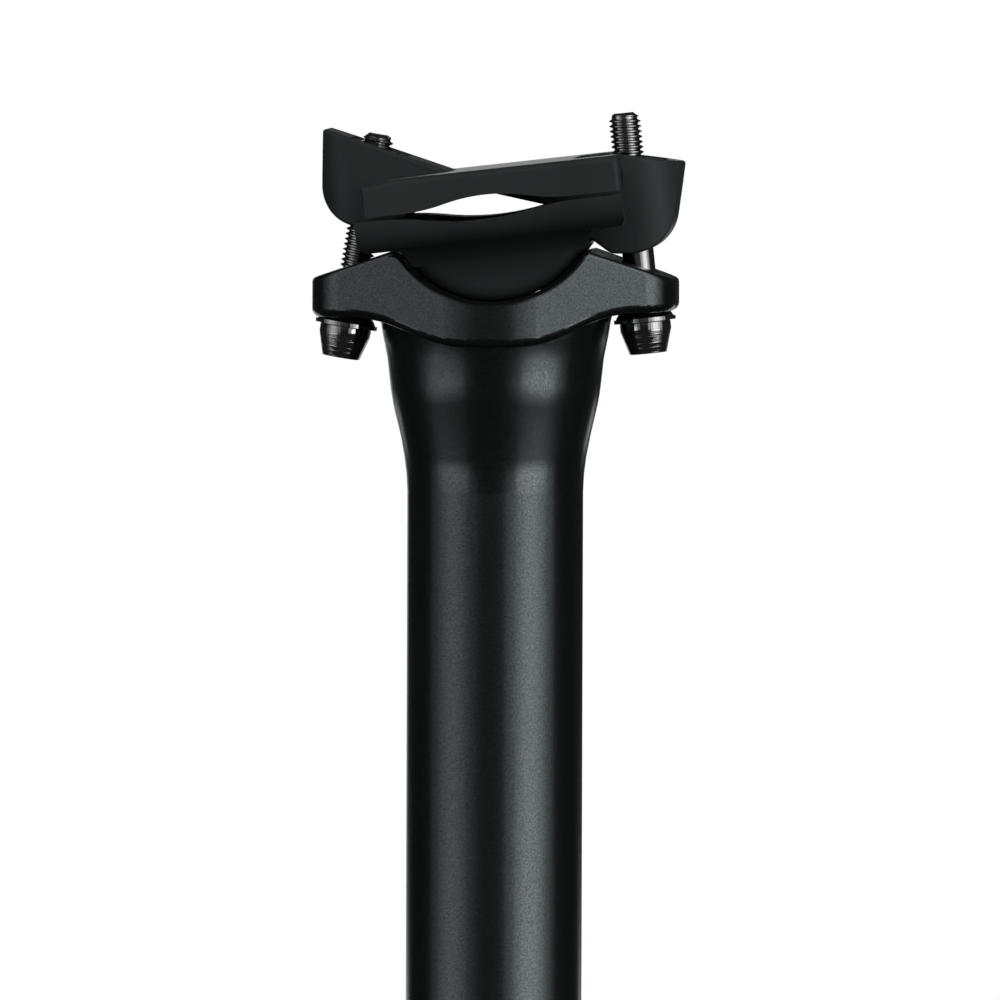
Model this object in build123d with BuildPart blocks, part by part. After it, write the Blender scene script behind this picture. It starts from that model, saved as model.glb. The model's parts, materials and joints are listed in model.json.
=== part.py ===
from build123d import *
import os
from math import atan2, cos, degrees, hypot, radians, sin, sqrt, tan

# Bicycle seatpost with a two-bolt tilting saddle clamp.
# Millimetres and degrees. +Z runs up the post, -X is the front of the bicycle.
# The origin is the centre of the post's lower end, and the clamp is modelled
# at the tilt it has in the photograph.

# Post tube
POST_DIAMETER = 27.2
POST_WALL = 2.3
POST_LENGTH = 350.0  # lower end to the tilt pivot
BORE_END = 29.0  # below the pivot, tip of the bore's conical end
BORE_END_ANGLE = 30.0
BORE_MOUTH_CHAMFER = 0.8

# Neck: drops below the pivot, and the radius at each
TAPER_END = 46.0  # here the neck has run out into the tube
NECK_PROFILE = ((41.4, 13.95), (37.8, 14.6), (34.0, 15.5), (30.0, 16.22), (25.0, 16.8), (21.5, 17.5))
NECK_ROOT = (18.0, 18.25)  # inside the head
NECK_ROOT_SLOPE = 0.35

# Forged head
SEAT_RADIUS = 16.5
HORN_DROP = 8.4  # pivot down to the tips of the seat
FRONT_HORN_RADIUS = 2.4
REAR_HORN_RADIUS = 1.0
ARM_SLOPE = 18.5  # top of the arms, falling outwards
ARM_UNDERSIDE = 18.55  # pivot down to the underside, on the post's axis
ARM_RAKE = 1.1  # the underside rises towards the rear
ARM_END = 5.2  # bolt seat to the end of the arm
ARM_CORNER = 6.5  # plan radius of the arms' ends
SEAT_FLOOR = 6.9  # thickness below the seat
HEAD_FLOOR_HALF = 7.5
BELLY_HALF = 18.4  # where the belly runs out into the arms
BELLY_RADIUS = 20.0
HEAD_HALF_DEPTH = 18.3
HEAD_PLAN_TAPER = 19.0  # the side faces fall away towards the arms
HEAD_RIDGE_RADIUS = 22.0
HEAD_EDGE = 1.3  # rounding of the lower edges
HEAD_TOP_EDGE = 0.8

# Bolts, M5, and their domed washers
BOLT_DIAMETER = 4.9
BOLT_SPACING = 45.8  # between the two seats under the arms
FRONT_BOLT_LENGTH = 30.1
REAR_BOLT_LENGTH = 32.4
BOLT_TIP_CHAMFER = 0.9
BOLT_HEAD_DIAMETER = 7.9
BOLT_HEAD_RIM = 1.3
BOLT_HEAD_HEIGHT = 4.95
BOLT_HEAD_END_DIAMETER = 5.75
SOCKET_ACROSS_FLATS = 4.0
SOCKET_DEPTH = 2.6
WASHER_DIAMETER = 9.6
WASHER_FLANGE = 0.6
WASHER_DOME_RADIUS = 5.0
WASHER_DOME_FOOT = 9.0  # diameter of the dome where it leaves the flange
WASHER_STANDOFF = 1.6  # head bearing face to the arm's underside
BOLT_HOLE_CLEARANCE = 0.25  # washer bore, radial
ARM_HOLE_CLEARANCE = 0.65  # arm bore, radial, room for the bolt to lean
DOME_CLEARANCE = 0.1

# Saddle rails and the clamp that holds them
CLAMP_TILT = 6.5
RAIL_GROOVE_RADIUS = 3.55  # rails of 7 mm
RAIL_SPACING = 44.0
RAIL_DROP = 1.55  # pivot down to the rails' axes
LIP_GAP = 0.6  # between the upper and lower lips
LIP_WALL = 1.5  # thinnest wall beside a groove
SEAT_CLEARANCE = 0.08

# Lower clamp, in the clamp's own tilted frame
TROUGH_WALL = 1.75
TROUGH_FRONT = 20.8
TROUGH_REAR = 20.5
TROUGH_FRONT_CORNER = 1.6  # lower corner of the front end, from the side
TROUGH_REAR_CORNER = 1.2
TROUGH_DIP = 1.65  # wave in the lips
TROUGH_DIP_HALF = 16.0
TROUGH_DIP_CENTRE = -1.5
CRADLE_HALF_DEPTH = 14.0
CRADLE_TOP_DROP = 4.0
CRADLE_EDGE = 2.4
CRADLE_SHOULDER = 2.6  # hollow between the troughs and the cradle
SHOULDER_DROP = 2.9
BOSS_GAP = 0.6  # between the cradle and the rear boss

# Upper clamp, in the clamp's own tilted frame
WING_TOP = 4.2
WING_FRONT = 19.4
WING_REAR = 20.7
WING_DROOP = 0.7  # the front end of the wings is lower
WING_DROOP_LENGTH = 4.8
WING_ARCH = 1.6  # wave in the lips
WING_ARCH_HALF = 13.0
WING_ARCH_CENTRE = -0.3
WING_EDGE = 1.0
BRIDGE_THICKNESS = 3.3
BRIDGE_FRONT = 11.5
BRIDGE_REAR = 13.0
BRIDGE_CORNER = 3.0
BOSS_HALF_WIDTH = 9.3
FRONT_BOSS_LOBE = (-20.05, 3.5)
FRONT_BOSS_RADIUS = 6.3
REAR_BOSS_LOBE = (20.7, -4.45)
REAR_BOSS_RADIUS = 6.95
REAR_BOSS_HEEL = (18.3, -8.4)  # smaller lobe that fills the boss towards the cradle
REAR_BOSS_HEEL_RADIUS = 2.8
FRONT_BOSS_CORNER = 6.5  # plan radius of the front end
REAR_BOSS_CORNER = 8.6
BOSS_POINT = 0.5  # small rounding where boss outlines turn
BOSS_EDGE = 0.5
FRONT_NUT = (-18.85, 4.84)
REAR_NUT = (20.85, -4.2)
FRONT_BOSS_CROWN = (-24.7, 12.3)
FRONT_BOSS_ROOT = (-6.5, 3.8)
FRONT_BOSS_HEEL = (-14.2, -1.7)
REAR_BOSS_CROWN = (28.95, 1.4)
REAR_BOSS_SHOULDER = (18.5, 3.8)
REAR_BOSS_ROOT = (5.2, 0.5)
REAR_WEDGE = ((0.9, 0.42), (7.6, -1.85), (12.0, 0.0), (6.0, 2.0))  # eases the rear boss into the bridge

# Barrel nuts
NUT_DIAMETER = 9.0
NUT_LENGTH = 13.0
NUT_EDGE = 0.5
NUT_CLEARANCE = 0.05
NUT_END_CLEARANCE = 0.15
THREAD_CLEARANCE = 0.22  # nut bore on the bolt, radial
TILT_UP = 13.0  # travel of the clamp from this pose, rear end rising
TILT_DOWN = 1.0
SLOT_CLEARANCE = 0.45

pivot = Vector(0, 0, POST_LENGTH)
tilt_cos = cos(radians(CLAMP_TILT))
tilt_sin = sin(radians(CLAMP_TILT))
rail_direction = (tilt_cos, 0, tilt_sin)
clamp_up = (-tilt_sin, 0, tilt_cos)

# Side planes look along +Y, with local x to the rear and local y up.
head_side = Plane(origin=pivot, x_dir=(1, 0, 0), z_dir=(0, -1, 0))
head_plan = Plane(origin=pivot, x_dir=(1, 0, 0), z_dir=(0, 0, 1))
clamp_side = Plane(origin=pivot, x_dir=rail_direction, z_dir=(0, -1, 0))
clamp_plan = Plane(origin=pivot, x_dir=rail_direction, z_dir=clamp_up)
clamp_section = Plane(origin=pivot, x_dir=(0, 1, 0), z_dir=rail_direction)

post_radius = POST_DIAMETER / 2
bolt_radius = BOLT_DIAMETER / 2
nut_radius = NUT_DIAMETER / 2
rail_y = RAIL_SPACING / 2
wing_outer = rail_y + RAIL_GROOVE_RADIUS + LIP_WALL
wing_inner = rail_y - RAIL_GROOVE_RADIUS - LIP_WALL
trough_radius = RAIL_GROOVE_RADIUS + TROUGH_WALL
upper_lip = -RAIL_DROP + LIP_GAP / 2
lower_lip = -RAIL_DROP - LIP_GAP / 2
cradle_radius = SEAT_RADIUS - SEAT_CLEARANCE
arm_reach = BOLT_SPACING / 2 + ARM_END
horn_x = sqrt(SEAT_RADIUS**2 - HORN_DROP**2)
FAR = 4 * SEAT_RADIUS  # reach of cutting tools
NEAR = 0.01  # tells one corner or edge from another


def underside(x):
    """Height of the arms' underside at x, from the pivot."""
    return -ARM_UNDERSIDE + x * tan(radians(ARM_RAKE))


def bolt_frame(seat_x, nut):
    """Origin at the head's bearing face and direction of a bolt from its arm to its nut."""
    nut_x = nut[0] * tilt_cos - nut[1] * tilt_sin
    nut_z = nut[0] * tilt_sin + nut[1] * tilt_cos
    rise = nut_z - underside(seat_x)
    run = nut_x - seat_x
    length = hypot(run, rise)
    along = Vector(run / length, 0, rise / length)
    seat = pivot + Vector(seat_x, 0, underside(seat_x))
    return seat - along * WASHER_STANDOFF, along


def half_plane(origin, along):
    """Plane through a bolt's axis: local x is the radius, local y runs along the bolt."""
    return Plane(origin=origin, x_dir=(along.Z, 0, -along.X), z_dir=(0, -1, 0))


front_origin, front_along = bolt_frame(-BOLT_SPACING / 2, FRONT_NUT)
rear_origin, rear_along = bolt_frame(BOLT_SPACING / 2, REAR_NUT)
dome_foot = WASHER_DOME_FOOT / 2
dome_centre = WASHER_FLANGE - sqrt(WASHER_DOME_RADIUS**2 - dome_foot**2)
washer_bore = bolt_radius + BOLT_HOLE_CLEARANCE
dome_top = dome_centre + sqrt(WASHER_DOME_RADIUS**2 - washer_bore**2)

# Forged head: the side outline and the plan outline, each extruded, keep what they share
arm_fall = tan(radians(ARM_SLOPE))
arm_tip = -HORN_DROP - (arm_reach - horn_x) * arm_fall
inner_x = horn_x - 2 * FRONT_HORN_RADIUS  # inside the seat, so that the seat cuts the horns
inner_top = -HORN_DROP + (horn_x - inner_x) * arm_fall
head_floor = -SEAT_RADIUS - SEAT_FLOOR
lowest_top = pivot.Z + underside(arm_reach) + HEAD_EDGE
taper = radians(HEAD_PLAN_TAPER)
ridge_x = HEAD_RIDGE_RADIUS * sin(taper)
ridge_y = HEAD_HALF_DEPTH - HEAD_RIDGE_RADIUS * (1 - cos(taper))
corner_y = ridge_y - (arm_reach - ridge_x) * tan(taper)


def at(x, y):
    """Picks the sketch corner at x, y."""
    return lambda v: hypot(v.X - x, v.Y - y) < NEAR


def underneath(edge):
    """True for an edge of the head's lower outline, not for one of the seat."""
    middle = edge.center()
    on_seat = abs(hypot(middle.X, middle.Z - pivot.Z) - SEAT_RADIUS) < NEAR
    return middle.Z < lowest_top and not on_seat


with BuildPart() as head:
    with BuildSketch(head_side):
        with BuildLine():
            Polyline(
                (-inner_x, inner_top),
                (-arm_reach, arm_tip),
                (-arm_reach, underside(-arm_reach)),
                (-BELLY_HALF, underside(-BELLY_HALF)),
                (-HEAD_FLOOR_HALF, head_floor),
                (HEAD_FLOOR_HALF, head_floor),
                (BELLY_HALF, underside(BELLY_HALF)),
                (arm_reach, underside(arm_reach)),
                (arm_reach, arm_tip),
                (inner_x, inner_top),
                close=True,
            )
        make_face()
        Circle(SEAT_RADIUS, mode=Mode.SUBTRACT)
        for side, horn_radius in ((-1, FRONT_HORN_RADIUS), (1, REAR_HORN_RADIUS)):
            fillet(vertices().filter_by(at(side * horn_x, -HORN_DROP)), horn_radius)
            belly_end = (side * BELLY_HALF, underside(side * BELLY_HALF))
            fillet(vertices().filter_by(at(*belly_end)), BELLY_RADIUS)
            fillet(vertices().filter_by(at(side * HEAD_FLOOR_HALF, head_floor)), BELLY_RADIUS)
    extrude(amount=FAR, both=True)
    with BuildSketch(head_plan):
        with BuildLine():
            ThreePointArc((-ridge_x, ridge_y), (0, HEAD_HALF_DEPTH), (ridge_x, ridge_y))
            Polyline((ridge_x, ridge_y), (arm_reach, corner_y), (arm_reach, 0))
            Polyline((-ridge_x, ridge_y), (-arm_reach, corner_y), (-arm_reach, 0))
            mirror(about=Plane.XZ)
        make_face()
        for side in (-1, 1):
            for corner in (-corner_y, corner_y):
                fillet(vertices().filter_by(at(side * arm_reach, corner)), ARM_CORNER)
    extrude(amount=FAR, both=True, mode=Mode.INTERSECT)
    side_edges = edges().filter_by(lambda e: abs(e.center().Y) > HEAD_EDGE)
    fillet(side_edges.filter_by(underneath), HEAD_EDGE)
    side_edges = edges().filter_by(lambda e: abs(e.center().Y) > HEAD_EDGE)
    top_edges = side_edges.filter_by(Axis.Z, reverse=True).filter_by(underneath, reverse=True)
    fillet(top_edges, HEAD_TOP_EDGE)

# Post: tube and neck turned as one, the head on top, then bore and bolt holes
with BuildPart() as post:
    with BuildSketch(Plane.XZ):
        with BuildLine():
            tube_line = Line((post_radius, 0), (post_radius, POST_LENGTH - TAPER_END))
            neck_points = [(radius, POST_LENGTH - drop) for drop, radius in NECK_PROFILE]
            root = (NECK_ROOT[1], POST_LENGTH - NECK_ROOT[0])
            neck_line = Spline(
                tube_line @ 1, *neck_points, root, tangents=[(0, 1), (NECK_ROOT_SLOPE, 1)]
            )
            Polyline(neck_line @ 1, (0, root[1]), (0, 0), tube_line @ 0)
        make_face()
    revolve(axis=Axis.Z)
    add(head.part)
    bore_radius = post_radius - POST_WALL
    bore_top = POST_LENGTH - BORE_END
    with BuildSketch(Plane.XZ):
        with BuildLine():
            Polyline(
                (0, 0),
                (bore_radius + BORE_MOUTH_CHAMFER, 0),
                (bore_radius, BORE_MOUTH_CHAMFER),
                (bore_radius, bore_top - bore_radius * tan(radians(BORE_END_ANGLE))),
                (0, bore_top),
                close=True,
            )
        make_face()
    revolve(axis=Axis.Z, mode=Mode.SUBTRACT)
    recess_radius = WASHER_DOME_RADIUS + DOME_CLEARANCE
    hole_radius = bolt_radius + ARM_HOLE_CLEARANCE
    recess_top = dome_centre + sqrt(recess_radius**2 - hole_radius**2)
    for origin, along in ((front_origin, front_along), (rear_origin, rear_along)):
        with BuildSketch(half_plane(origin, along)):
            with BuildLine():
                Line((0, dome_centre), (recess_radius, dome_centre))
                RadiusArc((recess_radius, dome_centre), (hole_radius, recess_top), -recess_radius)
                Polyline((hole_radius, recess_top), (hole_radius, FAR), (0, FAR), (0, dome_centre))
            make_face()
        revolve(axis=Axis(origin, along), mode=Mode.SUBTRACT)


def taut_outline(circles):
    """Face inside a band stretched round circles (x, y, radius) listed anticlockwise."""
    spans = []
    for (x1, y1, r1), (x2, y2, r2) in zip(circles, circles[1:] + circles[:1]):
        length = hypot(x2 - x1, y2 - y1)
        run = (x2 - x1) / length
        rise = (y2 - y1) / length
        lean = (r1 - r2) / length
        upright = sqrt(1 - lean**2)
        normal = Vector(run * lean + rise * upright, rise * lean - run * upright)
        spans.append((Vector(x1, y1) + normal * r1, Vector(x2, y2) + normal * r2, normal))
    with BuildLine(mode=Mode.PRIVATE) as band:
        for (start, end, normal), following, (x, y, radius) in zip(
            spans, spans[1:] + spans[:1], circles[1:] + circles[:1]
        ):
            Line(start, end)
            outward = (normal + following[2]).normalized()
            ThreePointArc(end, Vector(x, y) + outward * radius, following[0])
    make_face(band.edges())


def boss_outline(rounds, grow=0.0):
    """Side outline of a boss round its lobes and corners (x, y, radius), grown all round by grow."""
    taut_outline([(x, y, radius + grow) for x, y, radius in rounds])


def wave_radius(half_width, height):
    """Radius of the three arcs of a wave that rises by height and runs out over half_width each way."""
    return (half_width**2 + height**2) / (4 * height)


def wave_corners(centre, lip, radius, height):
    """Picks the two corners where the crest of a wave meets the lip, before they are rounded."""
    reach = sqrt(2 * radius * height - height**2)
    return lambda v: abs(abs(v.X - centre) - reach) < NEAR and abs(v.Y - lip) < NEAR


front_boss = [
    (*FRONT_BOSS_LOBE, FRONT_BOSS_RADIUS),
    (*FRONT_BOSS_HEEL, BOSS_POINT),
    (*FRONT_BOSS_ROOT, BOSS_POINT),
    (*FRONT_BOSS_CROWN, BOSS_POINT),
]
rear_boss = [
    (*REAR_BOSS_LOBE, REAR_BOSS_RADIUS),
    (*REAR_BOSS_CROWN, BOSS_POINT),
    (*REAR_BOSS_SHOULDER, BOSS_POINT),
    (*REAR_BOSS_ROOT, BOSS_POINT),
    (*REAR_BOSS_HEEL, REAR_BOSS_HEEL_RADIUS),
]
rear_wedge = [(x, y, BOSS_POINT) for x, y in REAR_WEDGE]
rail_centres = ((rail_y, -RAIL_DROP), (-rail_y, -RAIL_DROP))

# Web of the lower clamp: joins the troughs to the cradle, round underneath like the cradle
web_floor = -RAIL_DROP - trough_radius
with BuildPart() as web:
    with BuildSketch(clamp_section):
        with Locations((0, -CRADLE_TOP_DROP)):
            Rectangle(RAIL_SPACING, -CRADLE_TOP_DROP - web_floor, align=(Align.CENTER, Align.MAX))
            Rectangle(
                2 * CRADLE_HALF_DEPTH,
                SHOULDER_DROP - CRADLE_TOP_DROP - web_floor,
                align=(Align.CENTER, Align.MAX),
            )
        for side in (-1, 1):
            fillet(
                vertices().filter_by(at(side * CRADLE_HALF_DEPTH, web_floor)), CRADLE_SHOULDER
            )
    extrude(amount=FAR, both=True)
    with BuildSketch(clamp_side):
        Circle(cradle_radius)
    extrude(amount=FAR, both=True, mode=Mode.INTERSECT)

# Lower clamp: a cradle that turns in the seat, the web, and a half-round trough for each rail
with BuildPart() as troughs:
    with BuildSketch(clamp_section.offset(-TROUGH_FRONT)):
        with Locations(*rail_centres):
            Circle(trough_radius)
    extrude(amount=TROUGH_FRONT + TROUGH_REAR)
    with BuildSketch(clamp_side):
        with Locations((-TROUGH_FRONT, web_floor)):
            Rectangle(TROUGH_FRONT + TROUGH_REAR, FAR, align=(Align.MIN, Align.MIN))
        fillet(vertices().filter_by(at(-TROUGH_FRONT, web_floor)), TROUGH_FRONT_CORNER)
        fillet(vertices().filter_by(at(TROUGH_REAR, web_floor)), TROUGH_REAR_CORNER)
    extrude(amount=FAR, both=True, mode=Mode.INTERSECT)

with BuildPart() as lower_clamp:
    with BuildSketch(clamp_side):
        Circle(cradle_radius)
        with Locations((0, -CRADLE_TOP_DROP)):
            Rectangle(FAR, FAR, align=(Align.CENTER, Align.MIN), mode=Mode.SUBTRACT)
    extrude(amount=CRADLE_HALF_DEPTH, both=True)
    fillet(edges().filter_by(GeomType.CIRCLE), CRADLE_EDGE)
    add(web.part)
    add(troughs.part)
    with BuildSketch(clamp_section.offset(-FAR)):
        with Locations(*rail_centres):
            Circle(RAIL_GROOVE_RADIUS)
    extrude(amount=2 * FAR, mode=Mode.SUBTRACT)
    dip_radius = wave_radius(TROUGH_DIP_HALF, TROUGH_DIP)
    dip_corners = wave_corners(TROUGH_DIP_CENTRE, lower_lip, dip_radius, TROUGH_DIP)
    with BuildSketch(clamp_side):
        with Locations((0, lower_lip)):
            Rectangle(FAR, FAR, align=(Align.CENTER, Align.MIN))
        with Locations((TROUGH_DIP_CENTRE, lower_lip - TROUGH_DIP + dip_radius)):
            Circle(dip_radius)
        fillet(vertices().filter_by(dip_corners), dip_radius)
    extrude(amount=FAR, both=True, mode=Mode.SUBTRACT)
    with BuildSketch(clamp_side):
        boss_outline(rear_boss, BOSS_GAP)
    extrude(amount=BOSS_HALF_WIDTH + BOSS_GAP, both=True, mode=Mode.SUBTRACT)

# Bosses of the upper clamp: side outlines, rounded in plan at both ends
with BuildPart() as bosses:
    with BuildSketch(clamp_side):
        boss_outline(front_boss)
    extrude(amount=BOSS_HALF_WIDTH, both=True)
    with BuildSketch(clamp_side):
        boss_outline(rear_boss)
    extrude(amount=BOSS_HALF_WIDTH, both=True)
    front_end = FRONT_BOSS_LOBE[0] - FRONT_BOSS_RADIUS - BOSS_POINT
    rear_end = REAR_BOSS_CROWN[0] + 2 * BOSS_POINT
    with BuildSketch(clamp_plan):
        with Locations(((front_end + rear_end) / 2, 0)):
            Rectangle(rear_end - front_end, 2 * BOSS_HALF_WIDTH)
        fillet(vertices().group_by(Axis.X)[0], FRONT_BOSS_CORNER)
        fillet(vertices().group_by(Axis.X)[-1], REAR_BOSS_CORNER)
    extrude(amount=FAR, both=True, mode=Mode.INTERSECT)
    boss_edges = (
        edges()
        .filter_by(Axis((0, 0, 0), clamp_up), reverse=True)
        .filter_by(lambda e: abs(e.center().Y) > BOSS_HALF_WIDTH - NEAR)
    )
    fillet(boss_edges, BOSS_EDGE)

# Upper clamp: rail wings and bridge, joined to the bosses, with a pocket for each nut
with BuildPart() as upper_clamp:
    crest_radius = wave_radius(WING_ARCH_HALF, WING_ARCH)
    crest_corners = wave_corners(WING_ARCH_CENTRE, upper_lip, crest_radius, WING_ARCH)
    with BuildSketch(clamp_side):
        with BuildLine():
            Polyline(
                (-WING_FRONT, upper_lip),
                (WING_REAR, upper_lip),
                (WING_REAR, WING_TOP),
                (WING_DROOP_LENGTH - WING_FRONT, WING_TOP),
                (-WING_FRONT, WING_TOP - WING_DROOP),
                close=True,
            )
        make_face()
        with Locations((WING_ARCH_CENTRE, upper_lip + WING_ARCH - crest_radius)):
            Circle(crest_radius, mode=Mode.SUBTRACT)
        fillet(vertices().filter_by(crest_corners), crest_radius)
    extrude(amount=wing_outer, both=True)
    with BuildSketch(clamp_section.offset(-FAR)):
        Rectangle(2 * wing_inner, FAR)
    extrude(amount=2 * FAR, mode=Mode.SUBTRACT)
    outer_edges = edges().filter_by(lambda e: abs(e.center().Y) > wing_outer - NEAR)
    upper_edges = outer_edges.filter_by(lambda e: clamp_side.to_local_coords(e.center()).Y > 1)
    fillet(upper_edges, WING_EDGE)
    with BuildSketch(clamp_section.offset(-FAR)):
        with Locations(*rail_centres):
            Circle(RAIL_GROOVE_RADIUS)
    extrude(amount=2 * FAR, mode=Mode.SUBTRACT)
    with BuildSketch(clamp_plan.offset(WING_TOP)):
        with Locations(((BRIDGE_REAR - BRIDGE_FRONT) / 2, 0)):
            Rectangle(BRIDGE_FRONT + BRIDGE_REAR, 2 * (wing_inner + LIP_WALL))
    extrude(amount=-BRIDGE_THICKNESS)
    bridge_corners = (
        edges()
        .filter_by(Axis((0, 0, 0), clamp_up))
        .filter_by(lambda e: abs(abs(e.center().Y) - wing_inner) < NEAR)
        .filter_by(lambda e: abs(clamp_side.to_local_coords(e.center()).X) < BRIDGE_REAR + NEAR)
    )
    fillet(bridge_corners, BRIDGE_CORNER)
    add(bosses.part)
    with BuildSketch(clamp_side):
        boss_outline(rear_wedge)
    extrude(amount=BOSS_HALF_WIDTH - BOSS_EDGE, both=True)
    slot_radius = bolt_radius + SLOT_CLEARANCE
    for nut, top_front, top_rear, along in (
        (FRONT_NUT, FRONT_BOSS_CROWN, FRONT_BOSS_ROOT, front_along),
        (REAR_NUT, REAR_BOSS_SHOULDER, REAR_BOSS_CROWN, rear_along),
    ):
        opening = degrees(atan2(top_rear[1] - top_front[1], top_rear[0] - top_front[0]))
        with BuildSketch(clamp_side):
            with Locations(Location((*nut, 0), (0, 0, opening))):
                Circle(nut_radius + NUT_CLEARANCE)
                Rectangle(
                    2 * (nut_radius + NUT_CLEARANCE),
                    FAR,
                    align=(Align.CENTER, Align.MIN),
                )
        extrude(amount=NUT_LENGTH / 2 + NUT_END_CLEARANCE, both=True, mode=Mode.SUBTRACT)
        lean = degrees(atan2(along.X, along.Z)) + CLAMP_TILT
        sweep = [(*nut, slot_radius)]
        for angle in (radians(lean + TILT_UP), radians(lean - TILT_DOWN)):
            sweep.append((nut[0] - FAR * sin(angle), nut[1] - FAR * cos(angle), slot_radius))
        with BuildSketch(clamp_side):
            taut_outline(sweep)
        extrude(amount=slot_radius, both=True, mode=Mode.SUBTRACT)


def make_bolt(origin, along, length):
    """Bolt with a tapered socket head, its bearing face at the origin."""
    head_radius = BOLT_HEAD_DIAMETER / 2
    with BuildPart() as bolt:
        with BuildSketch(half_plane(origin, along)):
            with BuildLine():
                Polyline(
                    (0, -BOLT_HEAD_HEIGHT),
                    (BOLT_HEAD_END_DIAMETER / 2, -BOLT_HEAD_HEIGHT),
                    (head_radius, -BOLT_HEAD_RIM),
                    (head_radius, 0),
                    (bolt_radius, 0),
                    (bolt_radius, length - BOLT_TIP_CHAMFER),
                    (bolt_radius - BOLT_TIP_CHAMFER, length),
                    (0, length),
                    close=True,
                )
            make_face()
        revolve(axis=Axis(origin, along))
        foot = Plane(origin=origin - along * BOLT_HEAD_HEIGHT, x_dir=(0, 1, 0), z_dir=along)
        with BuildSketch(foot):
            RegularPolygon(SOCKET_ACROSS_FLATS / 2, 6, major_radius=False)
        extrude(amount=SOCKET_DEPTH, mode=Mode.SUBTRACT)
    return bolt


def make_washer(origin, along):
    """Flanged washer whose dome turns in the arm, under the bolt's bearing face."""
    with BuildPart() as washer:
        with BuildSketch(half_plane(origin, along)):
            with BuildLine():
                Polyline(
                    (washer_bore, dome_top),
                    (washer_bore, 0),
                    (WASHER_DIAMETER / 2, 0),
                    (WASHER_DIAMETER / 2, WASHER_FLANGE),
                    (dome_foot, WASHER_FLANGE),
                )
                RadiusArc((dome_foot, WASHER_FLANGE), (washer_bore, dome_top), -WASHER_DOME_RADIUS)
            make_face()
        revolve(axis=Axis(origin, along))
    return washer


def make_nut(nut, along):
    """Barrel nut across the clamp, bored along its bolt."""
    centre = clamp_side.from_local_coords((nut[0], nut[1], 0))
    with BuildPart() as barrel:
        with BuildSketch(Plane(origin=centre, x_dir=(1, 0, 0), z_dir=(0, -1, 0))):
            Circle(nut_radius)
        extrude(amount=NUT_LENGTH / 2, both=True)
        chamfer(edges().filter_by(GeomType.CIRCLE), NUT_EDGE)
        with BuildSketch(Plane(origin=centre, x_dir=(0, 1, 0), z_dir=along)):
            Circle(bolt_radius + THREAD_CLEARANCE)
        extrude(amount=NUT_DIAMETER, both=True, mode=Mode.SUBTRACT)
    return barrel


pieces = {
    "post": post,
    "lower_clamp": lower_clamp,
    "upper_clamp": upper_clamp,
    "front_bolt": make_bolt(front_origin, front_along, FRONT_BOLT_LENGTH),
    "rear_bolt": make_bolt(rear_origin, rear_along, REAR_BOLT_LENGTH),
    "front_washer": make_washer(front_origin, front_along),
    "rear_washer": make_washer(rear_origin, rear_along),
    "front_barrel_nut": make_nut(FRONT_NUT, front_along),
    "rear_barrel_nut": make_nut(REAR_NUT, rear_along),
}

os.makedirs("parts", exist_ok=True)
for name, piece in pieces.items():
    piece.part.label = name
    export_step(piece.part, f"parts/{name}.step")
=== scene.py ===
"""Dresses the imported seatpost: threaded bolts, finishes, a plain studio and the camera."""

import json
import math

import bmesh
import bpy
from bpy.props import FloatProperty, FloatVectorProperty, IntProperty, PointerProperty
from mathutils import Matrix, Vector


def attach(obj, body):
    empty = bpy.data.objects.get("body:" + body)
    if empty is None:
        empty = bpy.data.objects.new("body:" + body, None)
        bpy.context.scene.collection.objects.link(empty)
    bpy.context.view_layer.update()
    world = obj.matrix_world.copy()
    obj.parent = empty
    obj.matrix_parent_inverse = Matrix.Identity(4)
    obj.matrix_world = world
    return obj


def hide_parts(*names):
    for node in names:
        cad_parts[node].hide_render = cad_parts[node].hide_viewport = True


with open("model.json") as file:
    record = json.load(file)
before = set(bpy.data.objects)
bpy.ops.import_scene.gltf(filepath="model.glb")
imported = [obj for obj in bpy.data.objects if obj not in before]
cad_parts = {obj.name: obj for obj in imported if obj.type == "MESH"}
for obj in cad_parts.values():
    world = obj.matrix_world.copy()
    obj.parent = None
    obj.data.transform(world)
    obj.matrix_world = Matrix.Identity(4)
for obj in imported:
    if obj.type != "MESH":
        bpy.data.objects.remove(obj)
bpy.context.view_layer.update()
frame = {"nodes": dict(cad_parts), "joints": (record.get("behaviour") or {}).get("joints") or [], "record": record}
JOINTS = {joint["name"]: joint for joint in frame["joints"]}
FINISH_COLOURS = {slot["slot"]: slot["base_color"] for slot in frame["record"]["materials"]}

bl_info = {
    "name": "Seatpost dressing",
    "version": (1, 0, 0),
    "blender": (4, 5, 0),
    "location": "View3D > Sidebar > Seatpost",
    "description": "Threaded bolts, black finishes, studio and camera for a bicycle seatpost",
    "category": "Object",
}

MM = 0.001
TURN = 2 * math.pi
PICTURE_SIZE = 1000  # pixels each way
SENSOR_WIDTH = 36.0  # millimetres
CAMERA_REACH = (0.1, 100.0)  # nearest and furthest that the camera sees

CLOUD_RANGE = (0.3, 0.7)  # most values of a soft noise lie between these
PIT_RANGE = (0.25, 0.75)  # and most values of the grain between these
CLOUDS_PER_METRE = 90.0
ANODISED_CLOUDS = 0.1  # share by which clouds lighten and darken the anodised base
STEEL_CLOUDS = 0.15
OXIDE_IOR = 1.62  # clear anodised skin
OXIDE_TINT = (0.88, 0.99, 1.0, 1.0)
CLAMP_GRAIN = 0.6  # width of the clamp's grain, as a share of a blasted pit's
BLACKED_STEEL_IOR = 4.0
SMEAR_WIDTH = 0.12 * MM
SMEAR_DEPTH = 0.0006 * MM
SMEAR_ROUGHNESS = (-0.025, 0.035)  # least and most that smears add to the fasteners' roughness

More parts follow.
